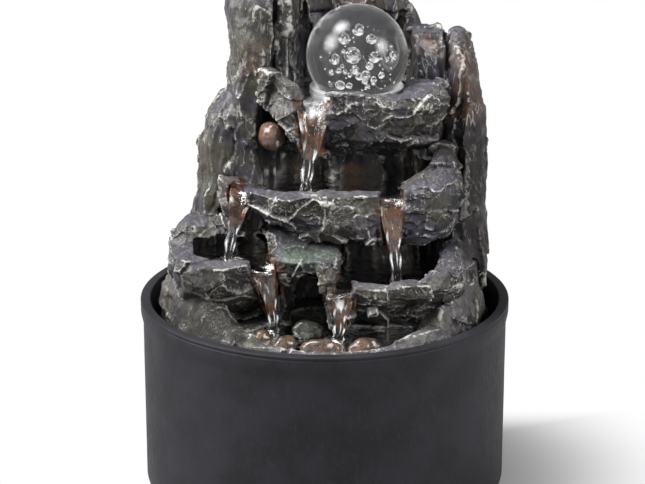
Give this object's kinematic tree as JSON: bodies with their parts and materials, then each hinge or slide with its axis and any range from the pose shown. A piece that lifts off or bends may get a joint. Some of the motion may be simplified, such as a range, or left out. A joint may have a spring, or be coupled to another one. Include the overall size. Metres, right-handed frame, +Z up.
{
  "type": "tabletop water fountain",
  "caption": "Tabletop fountain: a cast rock sculpture with stepped pools and a clear ball in a ring stands in a round bowl with a submersible pump.",
  "frame": {"origin": "centre of the underside, on the surface that the bowl stands on", "axes": "+Z up, -Y to the front, where the pools open, +X to the right"},
  "size_m": [0.22, 0.2199, 0.3084],
  "materials": {
    "bowl": "matte, finely grained",
    "rock": "cast resin, painted slate grey and dry-brushed pale along the edges",
    "stone": "cast resin, painted brown, wet",
    "clear": "polished clear acrylic",
    "ball": "polished, with air bubbles inside",
    "tube": "soft translucent",
    "pump_case": "moulded black",
    "dial": "moulded dark grey",
    "impeller": "moulded white",
    "magnet": "sintered",
    "ceramic": "ground ceramic",
    "bush": "moulded",
    "foot": "moulded",
    "cup": "moulded, translucent",
    "board": "lacquered",
    "led": "moulded",
    "lamp_case": "moulded black"
  },
  "bodies": {
    "bowl_and_pump": {"bowl": "bowl", "foot_pads": "foot", "pump_housing": "pump_case", "shaft_bushes": "bush", "impeller_shaft": "ceramic", "chamber_cover": "pump_case", "suction_cups": "cup"},
    "rotor": {"rotor_magnet": "magnet", "impeller": "impeller"},
    "strainer": {"strainer_cover": "pump_case"},
    "dial": {"flow_dial": "dial"},
    "rock": {"rock_skirt": "rock", "rock_deck": "rock", "rock_tower": "rock", "upper_basin": "rock", "middle_basin": "rock", "left_basin": "rock", "right_basin": "rock", "centre_rock": "rock", "pebbles": "stone", "ball_ring": "clear", "riser_tube": "tube", "lamp_case": "lamp_case", "lamp_board": "board", "lamp_leds": "led", "lamp_lens": "clear"},
    "ball": {"crystal_ball": "ball"}
  },
  "joints": [
    {"name": "rotor_spin", "type": "hinge", "parent": "bowl_and_pump", "child": "rotor", "pos_m": [0.019, 0.02, 0.02748], "axis": [0, 1, 0], "continuous": true},
    {"name": "strainer_off", "type": "slide", "parent": "bowl_and_pump", "child": "strainer", "axis": [0, -1, 0], "range_m": [0, 0.03]},
    {"name": "dial_turn", "type": "hinge", "parent": "strainer", "child": "dial", "pos_m": [0.019, -0.011, 0.02748], "axis": [0, -1, 0], "range_deg": [-45, 45]},
    {"name": "rock_lift", "type": "slide", "parent": "bowl_and_pump", "child": "rock", "axis": [0, 0, 1], "range_m": [0, 0.12]},
    {"name": "ball_spin", "type": "hinge", "parent": "rock", "child": "ball", "pos_m": [0.019, 0.02, 0.26123], "axis": [1, 0, 0], "continuous": true}
  ]
}
